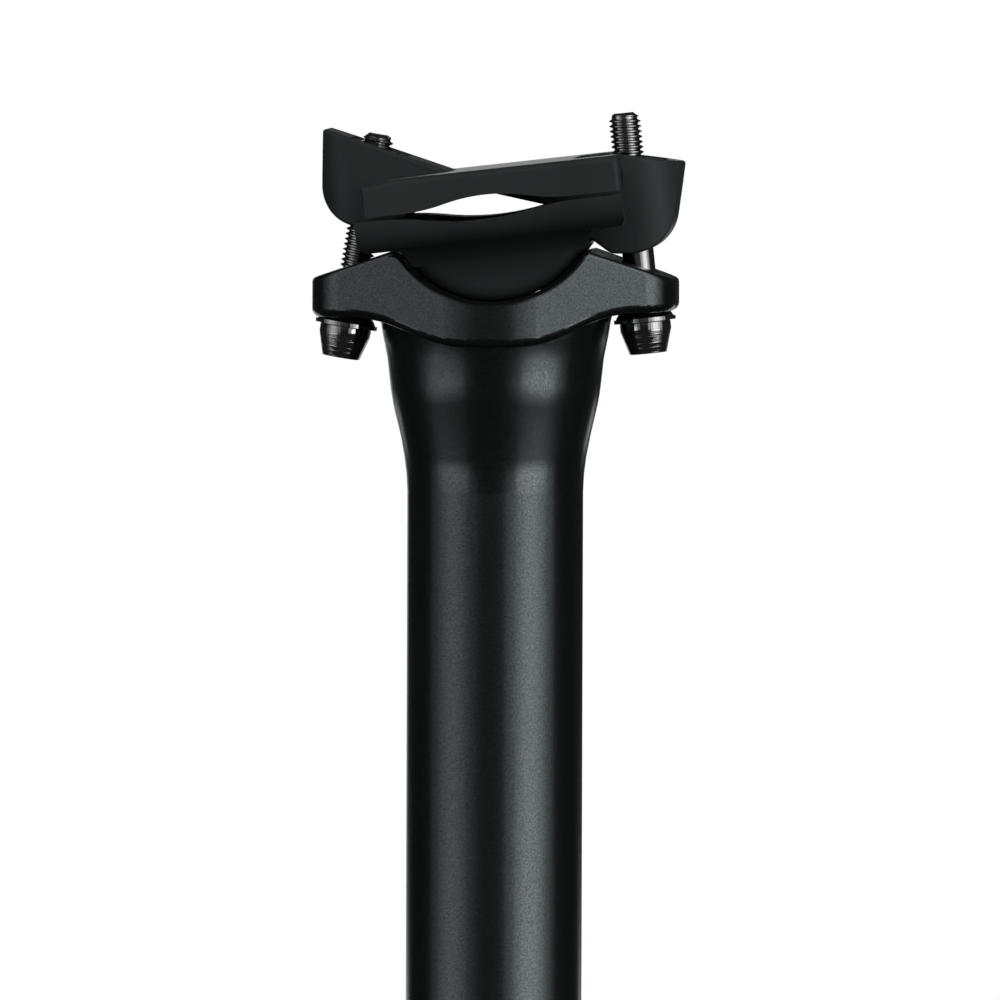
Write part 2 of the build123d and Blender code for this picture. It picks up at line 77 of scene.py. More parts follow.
TURNED = "turned"  # mesh attribute of the bolts
RIDGE_TURN = math.pi / 2  # turns the thread ridge's narrow side outwards
RIDGE_FOOT = 0.84  # width of the ridge at its foot, in pitches
RIDGE_CREST = 0.16  # width of the ridge at its crest, in pitches
RIDGE_HEIGHT = 1.1  # in thread depths, so that its foot lies inside the core
THREAD_INSET = 0.4  # pitches between the thread and the shank, and between the thread and the tip
SMOOTH_ANGLE = math.radians(28)

PANEL_STEPS = ((34.0, 0.28), (21.0, 0.35), (11.0, 0.37))  # half angle in degrees, share of the light
PANEL_GAP = 0.02  # the panels of one lamp stand this far apart
STRIP_HALF_ANGLE = 21.0  # degrees
TOP_PANEL_SIZE = (1.0, 0.8)  # width and height
LOW_PANEL_SIZE = (0.46, 0.45)

# Each part of the background grows from nothing to full between two values of a ray's direction.
SHEET_BEHIND = (0.9, 0.99)  # Y of the white sheet that shiny faces mirror
SHEET_LEFT = (-0.02, -0.045)  # X of that sheet
ROOM_ABOVE = (-0.1, 0.25)  # Z of the room that lights matt faces
GLOW_IN_FRONT = (-0.85, -0.97)  # Y of the glow behind the camera that shiny faces mirror
GLOW_OVER_LEVEL = (-0.15, 0.15)  # Z of that glow

FLOOR_SIDES = 96
FLOOR_ROUGHNESS = 0.9
FLOOR_GLOSS = 0.1
FLOOR_FADE = (0.1, 0.95)  # where the fade starts and ends, in floor radii
FLOOR_GLOW = 0.6  # least share of white in the floor as the camera sees it
MOTTLES_PER_METRE = 30.0
FLOOR_MOTTLE = 0.015  # share by which mottles lighten and darken the floor


class BoltSizes(bpy.types.PropertyGroup):
    """Sizes of the two clamp bolts that the solids leave out."""

    pitch: FloatProperty(
        name="Thread pitch", description="Rise of the thread in one turn",
        default=0.8 * MM, unit="LENGTH", precision=5,
    )
    thread_depth: FloatProperty(
        name="Thread depth", description="Crest of the thread down to its root",
        default=0.46 * MM, unit="LENGTH", precision=5,
    )
    front_shank: FloatProperty(
        name="Front shank", description="Smooth length between the front bolt's head and its thread",
        default=7.6 * MM, unit="LENGTH", precision=5,
    )
    rear_shank: FloatProperty(
        name="Rear shank", description="Smooth length between the rear bolt's head and its thread",
        default=11.6 * MM, unit="LENGTH", precision=5,
    )
    lead_in: FloatProperty(
        name="Lead-in turns", description="Turns over which the thread fades at each end",
        default=1.1,
    )
    edge: FloatProperty(
        name="Edge rounding", description="Small rounding of the head's edges",
        default=0.16 * MM, unit="LENGTH", precision=5,
    )
    rim: FloatProperty(
        name="Head rim", description="Height of the straight rim above the head's taper",
        default=1.3 * MM, unit="LENGTH", precision=5,
    )
    head_height: FloatProperty(
        name="Head height", description="Bearing face down to the end of the head",
        default=4.95 * MM, unit="LENGTH", precision=5,
    )
    head_end: FloatProperty(
        name="Head end", description="Radius of the small end of the tapered head",
        default=2.875 * MM, unit="LENGTH", precision=5,
    )
    thread_radius: FloatProperty(
        name="Thread radius", description="Radius over the crests of the thread",
        default=2.45 * MM, unit="LENGTH", precision=5,
    )
    socket: FloatProperty(
        name="Socket", description="Hexagon socket across its flats",
        default=4.0 * MM, unit="LENGTH", precision=5,
    )
    socket_depth: FloatProperty(
        name="Socket depth", description="Depth of the hexagon socket",
        default=2.6 * MM, unit="LENGTH", precision=5,
    )
    segments: IntProperty(
        name="Segments", description="Points in one turn of the bolt, a multiple of 12", default=72,
    )


class Finishes(bpy.types.PropertyGroup):
    """Colours and textures of the three finishes."""

    blasted_colour: FloatVectorProperty(
        name="Blasted black", description="Bead-blasted anodised aluminium of the post",
        subtype="COLOR", size=3, default=FINISH_COLOURS["blasted_black"],
    )
    blasted_roughness: FloatProperty(
        name="Blasted roughness", description="Spread of the blasted surface's shine",
        subtype="FACTOR", default=0.23,
    )
    grain: FloatProperty(
        name="Grain", description="Width of one blasted pit",
        default=0.26 * MM, unit="LENGTH", precision=6,
    )
    clamp_colour: FloatVectorProperty(
        name="Clamp black", description="Smooth matte anodised aluminium of the clamp",
        subtype="COLOR", size=3, default=FINISH_COLOURS["clamp_black"],
    )
    clamp_roughness: FloatProperty(
        name="Clamp roughness", description="Spread of the clamp's shine",
        subtype="FACTOR", default=0.32,
    )
    fastener_colour: FloatVectorProperty(
        name="Fastener black", description="Glossy black steel of the bolts, washers and nuts",
        subtype="COLOR", size=3, default=FINISH_COLOURS["fastener_black"],
    )
    fastener_roughness: FloatProperty(
        name="Fastener roughness", description="Spread of the fasteners' shine",
        subtype="FACTOR", default=0.065,
    )
    turning_mark: FloatProperty(
        name="Turning mark", description="Width of one turning mark on the taper of the bolt heads",
        default=0.22 * MM, unit="LENGTH", precision=6,
    )
    turning_depth: FloatProperty(
        name="Turning depth", description="Depth of the turning marks",
        default=0.055 * MM, unit="LENGTH", precision=6,
    )


class Studio(bpy.types.PropertyGroup):
    """Camera, lamps and floor."""

    azimuth: FloatProperty(
        name="Azimuth", description="Camera turned from the left side towards the rear",
        subtype="ANGLE", default=math.radians(3.0),
    )
    elevation: FloatProperty(
        name="Elevation", description="Camera above the level",
        subtype="ANGLE", default=math.radians(1.7),
    )
    roll: FloatProperty(
        name="Roll", description="Camera turned about its own line of sight",
        subtype="ANGLE", default=math.radians(0.19),
    )
    distance: FloatProperty(
        name="Distance", description="Camera to the tilt pivot",
        default=4.5, unit="LENGTH",
    )
    picture_scale: FloatProperty(
        name="Picture scale", description="Pixels in a millimetre at the tilt pivot",
        default=6.475,
    )
    pivot_x: FloatProperty(
        name="Pivot across", description="Pixels from the picture's left edge to the tilt pivot",
        subtype="PIXEL", default=496.2,
    )
    pivot_y: FloatProperty(
        name="Pivot down", description="Pixels from the picture's top edge to the tilt pivot",
        subtype="PIXEL", default=193.3,
    )
    left_panel: FloatProperty(
        name="Left panel", description="Brightness of the left light panel, where 1 is white",
        default=0.81,
    )
    right_panel: FloatProperty(
        name="Right panel", description="Brightness of the right light panel, where 1 is white",
        default=2.1,
    )
    left_azimuth: FloatProperty(
        name="Left panel at", description="Middle of the left light panel, round the post from the camera",
        subtype="ANGLE", default=math.radians(-57.5),
    )
    right_azimuth: FloatProperty(
        name="Right panel at",
        description="Middle of the right light panel, round the post from the camera",
        subtype="ANGLE", default=math.radians(48.0),
    )
    top_panel: FloatProperty(
        name="Top panel", description="Brightness of the light panel above the camera, on matt faces",
        default=3.6,
    )
    top_elevation: FloatProperty(
        name="Top panel at", description="Height of the top panel over the level, as an angle",
        subtype="ANGLE", default=math.radians(30.0),
    )
    low_panel: FloatProperty(
        name="Low panels", description="Brightness of the two low panels behind the post",
        default=0.9,
    )
    low_azimuth: FloatProperty(
        name="Low panels at", description="Middle of each low panel, round the post from the camera",
        subtype="ANGLE", default=math.radians(158.0),
    )
    low_elevation: FloatProperty(
        name="Low panels' height", description="Height of the low panels over the level, as an angle",
        subtype="ANGLE", default=math.radians(-18.0),
    )
    panel_foot: FloatProperty(
        name="Panel foot", description="Lower edge of the side panels under the level, as an angle",
        subtype="ANGLE", default=math.radians(17.0),
    )
    strip: FloatProperty(
        name="Foot strip",
        description="Brightness of the strip along a side panel's foot, as a share of the panel's",
        default=0.9,
    )
    strip_top: FloatProperty(
        name="Strip top", description="Upper edge of the foot strip under the level, as an angle",
        subtype="ANGLE", default=math.radians(10.5),
    )
    panel_top: FloatProperty(
        name="Panel top", description="Upper edge of the side panels over the tilt pivot",
        default=2.2, unit="LENGTH",
    )
    panel_distance: FloatProperty(
        name="Panel distance", description="Light panels to the post",
        default=1.3, unit="LENGTH",
    )
    room: FloatProperty(
        name="Room light", description="Brightness of the room on matt faces",
        subtype="FACTOR", default=0.2,
    )
    room_shine: FloatProperty(
        name="Room in shine", description="Brightness of the room in shiny faces",
        subtype="FACTOR", default=0.02,
    )
    front_shine: FloatProperty(
        name="Front in shine", description="Brightness of the room behind the camera in shiny faces",
        subtype="FACTOR", default=0.13,
    )
    floor_radius: FloatProperty(
        name="Floor radius", description="Where the pale floor has faded into the white background",
        default=0.42, unit="LENGTH",
    )
    floor_colour: FloatVectorProperty(
        name="Floor", description="Pale floor",
        subtype="COLOR", size=3, default=(0.82, 0.82, 0.82),
    )


def new_material(name):
    """Node material with only a Principled BSDF and its output; returns it, its tree and the shader."""
    material = bpy.data.materials.new(name)
    material.use_nodes = True
    tree = material.node_tree
    return material, tree, tree.nodes["Principled BSDF"]


def add_node(tree, kind, **settings):
    """Adds a node and sets its attributes."""
    node = tree.nodes.new(kind)
    for name, value in settings.items():
        setattr(node, name, value)
    return node


def wire(tree, start, end):
    """Links an output socket to an input socket."""
    tree.links.new(start, end)


def math_node(tree, operation, first, second=None, clamp=False):
    """Math node on sockets or plain numbers; returns its output."""
    node = add_node(tree, "ShaderNodeMath", operation=operation, use_clamp=clamp)
    for socket, value in zip(node.inputs, (first, second)):
        if value is None:
            continue
        if isinstance(value, bpy.types.NodeSocket):
            wire(tree, value, socket)
        else:
            socket.default_value = value
    return node.outputs[0]


def range_node(tree, value, from_low, from_high, to_low, to_high, smooth=False):
    """Map Range node; returns its output."""
    node = add_node(tree, "ShaderNodeMapRange")
    if smooth:
        node.interpolation_type = "SMOOTHSTEP"
    wire(tree, value, node.inputs["Value"])
    node.inputs["From Min"].default_value = from_low
    node.inputs["From Max"].default_value = from_high
    node.inputs["To Min"].default_value = to_low
    node.inputs["To Max"].default_value = to_high
    return node.outputs["Result"]


def clouded(tree, noise, spread, level=1.0):
    """Tone that a soft noise moves up and down by a share of its level; returns the output."""
    return range_node(tree, noise, *CLOUD_RANGE, (1 - spread) * level, (1 + spread) * level)


def scaled_colour(tree, colour, tone):
    """Colour times a tone that changes over the surface; returns the output."""
    node = add_node(tree, "ShaderNodeVectorMath", operation="SCALE")
    node.inputs[0].default_value = colour
    wire(tree, tone, node.inputs["Scale"])
    return node.outputs[0]


def bump_node(tree, height, depth):
    """Bump node at full strength; returns it."""
    node = add_node(tree, "ShaderNodeBump")
    node.inputs["Strength"].default_value = 1.0
    node.inputs["Distance"].default_value = depth
    wire(tree, height, node.inputs["Height"])
    return node


def grain_group():
    """Shader group: fine grain of a blasted or anodised surface, from Object coordinates."""
    name = "Fine grain"
    if name in bpy.data.node_groups:
        return bpy.data.node_groups[name]
    tree = bpy.data.node_groups.new(name, "ShaderNodeTree")
    sockets = tree.interface
    sockets.new_socket("Width", in_out="INPUT", socket_type="NodeSocketFloat")
    sockets.new_socket("Height", in_out="OUTPUT", socket_type="NodeSocketFloat")
    sockets.new_socket("Tone", in_out="OUTPUT", socket_type="NodeSocketFloat")
    entry = add_node(tree, "NodeGroupInput")
    leave = add_node(tree, "NodeGroupOutput")
    place = add_node(tree, "ShaderNodeTexCoord").outputs["Object"]
    per_metre = math_node(tree, "DIVIDE", 1.0, entry.outputs["Width"])

    pits = add_node(tree, "ShaderNodeTexNoise")
    pits.inputs["Detail"].default_value = 2.0
    pits.inputs["Roughness"].default_value = 0.6
    wire(tree, place, pits.inputs["Vector"])
    wire(tree, per_metre, pits.inputs["Scale"])

    cloud = add_node(tree, "ShaderNodeTexNoise")
    cloud.inputs["Scale"].default_value = CLOUDS_PER_METRE
    cloud.inputs["Detail"].default_value = 3.0
    wire(tree, place, cloud.inputs["Vector"])

    wire(tree, pits.outputs["Fac"], leave.inputs["Height"])
    wire(tree, cloud.outputs["Fac"], leave.inputs["Tone"])
    return tree


def grained_black(name, colour, roughness, width, gloss, sparkle, depth, shade):
    """Black anodised aluminium: a dark base under a clear oxide skin whose shine is broken by grain."""
    material, tree, shader = new_material(name)
    grain = add_node(tree, "ShaderNodeGroup", node_tree=grain_group())
    grain.inputs["Width"].default_value = width
    tone = clouded(tree, grain.outputs["Tone"], ANODISED_CLOUDS, level=shade * (1 + sparkle))
    wire(tree, scaled_colour(tree, colour, tone), shader.inputs["Base Color"])
    shader.inputs["Roughness"].default_value = roughness
    shader.inputs["IOR"].default_value = OXIDE_IOR
    shader.inputs["Specular IOR Level"].default_value = gloss * (1 + sparkle)
    shader.inputs["Specular Tint"].default_value = OXIDE_TINT
    if sparkle:
        # A pit shows dark metal, which has almost none of the clear skin's shine.
        deepest = 2 * sparkle / (1 + sparkle)
        pits = range_node(tree, grain.outputs["Height"], *PIT_RANGE, deepest, 0.0)
        wire(tree, pits, shader.inputs["Metallic"])
    bump = bump_node(tree, grain.outputs["Height"], depth)
    wire(tree, bump.outputs["Normal"], shader.inputs["Normal"])
    return material


def blasted_black():
    """Bead-blasted black of the post."""
    finish = bpy.context.scene.seatpost_finishes
    return grained_black(
        "blasted_black_finish", finish.blasted_colour, finish.blasted_roughness, finish.grain,
        gloss=0.62, sparkle=0.5, depth=0.004 * MM, shade=0.55,
    )


def clamp_black():
    """Smooth matte black of the clamp halves."""
    finish = bpy.context.scene.seatpost_finishes
    return grained_black(
        "clamp_black_finish", finish.clamp_colour, finish.clamp_roughness, CLAMP_GRAIN * finish.grain,
        gloss=0.08, sparkle=0.0, depth=0.001 * MM, shade=1.0,
    )


def fastener_black():
    """Glossy black steel with faint handling smears, and turning marks on the taper of the bolt heads."""
    name = "fastener_black_finish"
    if name in bpy.data.materials:
        return bpy.data.materials[name]
    finish = bpy.context.scene.seatpost_finishes
    material, tree, shader = new_material(name)
    grain = add_node(tree, "ShaderNodeGroup", node_tree=grain_group())
    grain.inputs["Width"].default_value = SMEAR_WIDTH
    tone = clouded(tree, grain.outputs["Tone"], STEEL_CLOUDS)
    wire(tree, scaled_colour(tree, finish.fastener_colour, tone), shader.inputs["Base Color"])
    least, most = (finish.fastener_roughness + smear for smear in SMEAR_ROUGHNESS)
    smears = range_node(tree, grain.outputs["Tone"], *CLOUD_RANGE, least, most)
    wire(tree, smears, shader.inputs["Roughness"])
    shader.inputs["IOR"].default_value = BLACKED_STEEL_IOR

    taper = add_node(tree, "ShaderNodeAttribute", attribute_type="GEOMETRY", attribute_name=TURNED)
    marks = add_node(tree, "ShaderNodeTexNoise", noise_dimensions="1D")
    marks.inputs["Scale"].default_value = 1.0 / finish.turning_mark
    wire(tree, taper.outputs["Fac"], marks.inputs["W"])
    turned = bump_node(tree, marks.outputs["Fac"], finish.turning_depth)
    bump = bump_node(tree, grain.outputs["Height"], SMEAR_DEPTH)
    wire(tree, turned.outputs["Normal"], bump.inputs["Normal"])
    wire(tree, bump.outputs["Normal"], shader.inputs["Normal"])
    return material


def dress(node, material):
    """Gives a CAD node its finish."""
    mesh = frame["nodes"][node].data
    mesh.materials.clear()
    mesh.materials.append(material)


def bolt_axis(side):
    """Point and direction of a bolt: from the centre of its washer's dome towards its barrel nut."""
    foot = Vector(JOINTS[f"{side}_bolt_swing"]["pos_m"])
    nut = Vector(JOINTS[f"{side}_nut_turn"]["pos_m"])
    return foot, (nut - foot).normalized()


def bolt_reach(side):
    """Distances along a bolt's axis of its head's end and of its tip, from the solid."""
    foot, along = bolt_axis(side)
    heights = [(v.co - foot).dot(along) for v in frame["nodes"][f"{side}_bolt"].data.vertices]
    return min(heights), max(heights)


def head_radius(side):
    """Radius of a bolt's head, from the solid."""
    foot, along = bolt_axis(side)
    offsets = [v.co - foot for v in frame["nodes"][f"{side}_bolt"].data.vertices]
    return max((offset - along * offset.dot(along)).length for offset in offsets)


def plain_length(side):
    """Smooth length between a bolt's head and its thread."""
    return getattr(bpy.context.scene.seatpost_bolts, f"{side}_shank")


def hexagon(across_flats):
    """Gives the function that returns a hexagon's radius at an angle."""
    sixth = TURN / 6

    def radius(angle):
        return across_flats / 2 / math.cos(angle % sixth - sixth / 2)

    return radius


def turned_mesh(name, rings, segments):
    """Closed mesh round Z from rings of (radius, height); a radius may be a function of the angle."""
    shape = bmesh.new()
    loops = []
    for radius, height in rings:
        loop = []
        for step in range(segments):
            angle = TURN * step / segments
            reach = radius(angle) if callable(radius) else radius
            loop.append(shape.verts.new((reach * math.cos(angle), reach * math.sin(angle), height)))
        loops.append(loop)
    for lower, upper in zip(loops, loops[1:]):
        for step in range(segments):
            after = (step + 1) % segments
            shape.faces.new((lower[step], lower[after], upper[after], upper[step]))
    for loop, height, flip in ((loops[0], rings[0][1], True), (loops[-1], rings[-1][1], False)):
        middle = shape.verts.new((0, 0, height))
        for step in range(segments):
            corners = (loop[step], loop[(step + 1) % segments], middle)
            shape.faces.new(reversed(corners) if flip else corners)
    mesh = bpy.data.meshes.new(name)
    shape.to_mesh(mesh)
    shape.free()
    return mesh


def bolt_core(side):
    """Bolt without its thread, on Z with the bearing face of the head at 0; also gives the tip's height."""
    sizes = bpy.context.scene.seatpost_bolts
    low, high = bolt_reach(side)
    bearing = low + sizes.head_height
    tip = high - bearing
    head = head_radius(side)
    root = sizes.thread_radius - sizes.thread_depth
    edge = sizes.edge
    shank = plain_length(side)
    socket = hexagon(sizes.socket)
    taper = (head - sizes.head_end) / (sizes.head_height - sizes.rim)
    bottom = -sizes.head_height
    floor = bottom + sizes.socket_depth
    drill_radius = 0.45 * sizes.socket
    drill_point = 0.9 * MM
    drill_flat = 0.25 * MM
    chamfer = 0.55 * MM
    # Rings that lie close together round an edge.
    rings = [
        (drill_flat, floor + drill_point),
        (drill_radius, floor),
        (socket, floor),
        (socket, bottom + edge),
        (lambda angle: socket(angle) + edge, bottom),
        (sizes.head_end - edge, bottom),
        (sizes.head_end, bottom + 0.4 * edge),
        (sizes.head_end + taper * edge, bottom + edge),
        (head - taper * edge, -sizes.rim - edge),
        (head, -sizes.rim + 0.4 * edge),
        (head, -edge),
        (head - 0.4 * edge, -0.3 * edge),
        (head - edge, 0.0),
        (sizes.thread_radius, 0.0),
        (sizes.thread_radius, shank),
        (root, shank + sizes.pitch),
        (root, tip - chamfer),
        (root - chamfer, tip),
    ]
    return turned_mesh(f"{side}_bolt_core", rings, sizes.segments), tip


def thread_tree():
    """Geometry Nodes tree: winds a thread round the bolt that it is given."""
    name = "Wound thread"
    if name in bpy.data.node_groups:
        return bpy.data.node_groups[name]
    tree = bpy.data.node_groups.new(name, "GeometryNodeTree")
    sockets = tree.interface
    sockets.new_socket("Geometry", in_out="INPUT", socket_type="NodeSocketGeometry")
    for label in ("Start", "Turns", "Pitch", "Root Radius", "Depth", "Lead In"):
        sockets.new_socket(label, in_out="INPUT", socket_type="NodeSocketFloat")
    sockets.new_socket("Segments", in_out="INPUT", socket_type="NodeSocketInt")
    sockets.new_socket("Finish", in_out="INPUT", socket_type="NodeSocketMaterial")
    sockets.new_socket("Geometry", in_out="OUTPUT", socket_type="NodeSocketGeometry")
    entry = add_node(tree, "NodeGroupInput").outputs
    leave = add_node(tree, "NodeGroupOutput")

    spiral = add_node(tree, "GeometryNodeCurveSpiral")
    wire(tree, entry["Segments"], spiral.inputs["Resolution"])
    wire(tree, entry["Turns"], spiral.inputs["Rotations"])
    half_depth = math_node(tree, "MULTIPLY", entry["Depth"], 0.5)
    middle = math_node(tree, "ADD", entry["Root Radius"], half_depth)
    wire(tree, middle, spiral.inputs["Start Radius"])
    wire(tree, middle, spiral.inputs["End Radius"])
    wire(tree, math_node(tree, "MULTIPLY", entry["Turns"], entry["Pitch"]), spiral.inputs["Height"])

    raised = add_node(tree, "GeometryNodeTransform")
    lift = add_node(tree, "ShaderNodeCombineXYZ")
    wire(tree, entry["Start"], lift.inputs["Z"])
    wire(tree, spiral.outputs["Curve"], raised.inputs["Geometry"])
    wire(tree, lift.outputs["Vector"], raised.inputs["Translation"])

    upright = add_node(tree, "GeometryNodeSetCurveNormal", mode="Z_UP")
    wire(tree, raised.outputs["Geometry"], upright.inputs["Curve"])

    # The ridge sinks into the core over the lead-in turns at each end.
    along = add_node(tree, "GeometryNodeSplineParameter").outputs["Factor"]
    done = math_node(tree, "MULTIPLY", along, entry["Turns"])
    left = math_node(tree, "SUBTRACT", entry["Turns"], done)
    nearest = math_node(tree, "MINIMUM", done, left)
    share = math_node(tree, "DIVIDE", nearest, entry["Lead In"], clamp=True)
    sink = math_node(tree, "SUBTRACT", 1.0, share)
    inward = math_node(tree, "MULTIPLY", sink, entry["Depth"])
    place = add_node(tree, "GeometryNodeInputPosition").outputs["Position"]
    flat = add_node(tree, "ShaderNodeVectorMath", operation="MULTIPLY")
    flat.inputs[1].default_value = (1.0, 1.0, 0.0)
    wire(tree, place, flat.inputs[0])
    outward = add_node(tree, "ShaderNodeVectorMath", operation="NORMALIZE")
    wire(tree, flat.outputs[0], outward.inputs[0])
    shift = add_node(tree, "ShaderNodeVectorMath", operation="SCALE")
    wire(tree, outward.outputs[0], shift.inputs[0])
    wire(tree, math_node(tree, "MULTIPLY", inward, -1.0), shift.inputs["Scale"])
    sunk = add_node(tree, "GeometryNodeSetPosition")
    wire(tree, upright.outputs["Curve"], sunk.inputs["Geometry"])
    wire(tree, shift.outputs[0], sunk.inputs["Offset"])

    ridge = add_node(tree, "GeometryNodeCurvePrimitiveQuadrilateral", mode="TRAPEZOID")
    wire(tree, math_node(tree, "MULTIPLY", entry["Depth"], RIDGE_HEIGHT), ridge.inputs["Height"])
    wire(tree, math_node(tree, "MULTIPLY", entry["Pitch"], RIDGE_FOOT), ridge.inputs["Bottom Width"])
    wire(tree, math_node(tree, "MULTIPLY", entry["Pitch"], RIDGE_CREST), ridge.inputs["Top Width"])
    ridge.inputs["Offset"].default_value = 0.0
    outwards = add_node(tree, "GeometryNodeTransform")
    outwards.inputs["Rotation"].default_value = (0.0, 0.0, RIDGE_TURN)
    wire(tree, ridge.outputs["Curve"], outwards.inputs["Geometry"])

    swept = add_node(tree, "GeometryNodeCurveToMesh")
    swept.inputs["Fill Caps"].default_value = True
    wire(tree, sunk.outputs["Geometry"], swept.inputs["Curve"])
    wire(tree, outwards.outputs["Geometry"], swept.inputs["Profile Curve"])

    both = add_node(tree, "GeometryNodeJoinGeometry")
    wire(tree, entry["Geometry"], both.inputs["Geometry"])
    wire(tree, swept.outputs["Mesh"], both.inputs["Geometry"])
    real = add_node(tree, "GeometryNodeRealizeInstances")
    wire(tree, both.outputs["Geometry"], real.inputs["Geometry"])
    painted = add_node(tree, "GeometryNodeSetMaterial")
    wire(tree, real.outputs["Geometry"], painted.inputs["Geometry"])
    wire(tree, entry["Finish"], painted.inputs["Material"])
    wire(tree, painted.outputs["Geometry"], leave.inputs["Geometry"])
    return tree


def set_inputs(modifier, values):
    """Sets a Geometry Nodes modifier's inputs through their sockets' identifiers."""
    for item in modifier.node_group.interface.items_tree:
        if item.in_out == "INPUT" and item.name in values:
            modifier[item.identifier] = values[item.name]


def threaded_bolt(side):
    """Bolt with a wound thread, as a plain mesh on the bolt's own axis."""
    sizes = bpy.context.scene.seatpost_bolts
    core, tip = bolt_core(side)
    blank = bpy.data.objects.new(f"{side}_bolt_blank", core)
    bpy.context.scene.collection.objects.link(blank)
    winding = blank.modifiers.new("Thread", "NODES")
    winding.node_group = thread_tree()
    inset = THREAD_INSET * sizes.pitch
    start = plain_length(side) + inset
    set_inputs(winding, {
        "Start": start,
        "Turns": (tip - inset - start) / sizes.pitch,
        "Pitch": sizes.pitch,
        "Root Radius": sizes.thread_radius - sizes.thread_depth,
        "Depth": sizes.thread_depth,
        "Lead In": sizes.lead_in,
        "Segments": sizes.segments,
        "Finish": fastener_black(),
    })
    ready = blank.evaluated_get(bpy.context.evaluated_depsgraph_get())
    mesh = bpy.data.meshes.new_from_object(ready)
    bpy.data.objects.remove(blank)
    # How far down the head's taper each point lies, for the turning marks; 0 everywhere else.
    marks = mesh.attributes.new(TURNED, "FLOAT", "POINT")
    marks.data.foreach_set("value", [min(0.0, point.co.z + sizes.rim) for point in mesh.vertices])
    foot, along = bolt_axis(side)
    bearing = foot + along * (bolt_reach(side)[0] + sizes.head_height)
    mesh.transform(Matrix.Translation(bearing) @ along.to_track_quat("Z", "Y").to_matrix().to_4x4())
    mesh.shade_smooth()
    mesh.set_sharp_from_angle(angle=SMOOTH_ANGLE)
    bolt = bpy.data.objects.new(f"{side}_bolt_threaded", mesh)
    bpy.context.scene.collection.objects.link(bolt)
    return bolt


class SEATPOST_OT_post(bpy.types.Operator):
    """Gives the post its bead-blasted black finish"""

    bl_idname = "seatpost.post"
    bl_label = "Post"

    def execute(self, context):
        dress("post", blasted_black())
        return {"FINISHED"}


class SEATPOST_OT_clamp(bpy.types.Operator):
    """Gives the two clamp halves their smooth matte black finish"""

    bl_idname = "seatpost.clamp"
    bl_label = "Clamp"

    def execute(self, context):
        finish = clamp_black()
        for node in ("lower_clamp", "upper_clamp"):
            dress(node, finish)
        return {"FINISHED"}


class SEATPOST_OT_bolts(bpy.types.Operator):
    """Makes the two threaded bolts in place of their plain solids"""

    bl_idname = "seatpost.bolts"
    bl_label = "Bolts"

    def execute(self, context):
        for side in ("front", "rear"):
            bolt = threaded_bolt(side)
            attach(bolt, f"{side}_bolt_set")
            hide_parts(f"{side}_bolt")
        return {"FINISHED"}


class SEATPOST_OT_small_steel(bpy.types.Operator):
    """Gives the washers and barrel nuts their glossy black finish"""

    bl_idname = "seatpost.small_steel"
    bl_label = "Washers and nuts"

    def execute(self, context):
        for side in ("front", "rear"):
            dress(f"{side}_washer", fastener_black())
            dress(f"{side}_barrel_nut", fastener_black())
        return {"FINISHED"}


def make_world():
    """White background behind the object, a dim room elsewhere."""
    studio = bpy.context.scene.seatpost_studio
    world = bpy.data.worlds.new("studio_room")
    bpy.context.scene.world = world
    world.use_nodes = True
    tree = world.node_tree
    background = tree.nodes["Background"]
    background.inputs["Color"].default_value = (1.0, 1.0, 1.0, 1.0)
    path = add_node(tree, "ShaderNodeLightPath").outputs
    direction = add_node(tree, "ShaderNodeSeparateXYZ")
    wire(tree, add_node(tree, "ShaderNodeTexCoord").outputs["Generated"], direction.inputs["Vector"])
    towards = direction.outputs

    # The camera sees white everywhere, and shiny faces see it only on a sheet behind the object.
    seen = math_node(tree, "MAXIMUM", path["Is Camera Ray"], path["Is Glossy Ray"])
    seen = math_node(tree, "MAXIMUM", seen, path["Is Transmission Ray"])
    behind = range_node(tree, towards["Y"], *SHEET_BEHIND, 0.0, 1.0, smooth=True)
    leftwards = range_node(tree, towards["X"], *SHEET_LEFT, 0.0, 1.0, smooth=True)
    sheet = math_node(tree, "MULTIPLY", behind, leftwards)
    shown = math_node(tree, "MAXIMUM", sheet, path["Is Camera Ray"])
    white = math_node(tree, "MULTIPLY", shown, seen)

    # Matt faces are lit by a room from above. Shiny faces see it dimmer, with a glow behind the camera.
    above = range_node(tree, towards["Z"], *ROOM_ABOVE, 0.0, studio.room, smooth=True)
    matt = math_node(tree, "SUBTRACT", 1.0, path["Is Glossy Ray"])
    room = math_node(tree, "MULTIPLY", above, matt)
    in_front = range_node(tree, towards["Y"], *GLOW_IN_FRONT, 0.0, studio.front_shine, smooth=True)
    over_level = range_node(tree, towards["Z"], *GLOW_OVER_LEVEL, 0.0, 1.0, smooth=True)
    glow = math_node(tree, "MULTIPLY", in_front, over_level)
    shine = math_node(tree, "ADD", glow, studio.room_shine)
    dim = math_node(tree, "MAXIMUM", room, shine)
    wire(tree, math_node(tree, "MAXIMUM", white, dim), background.inputs["Strength"])


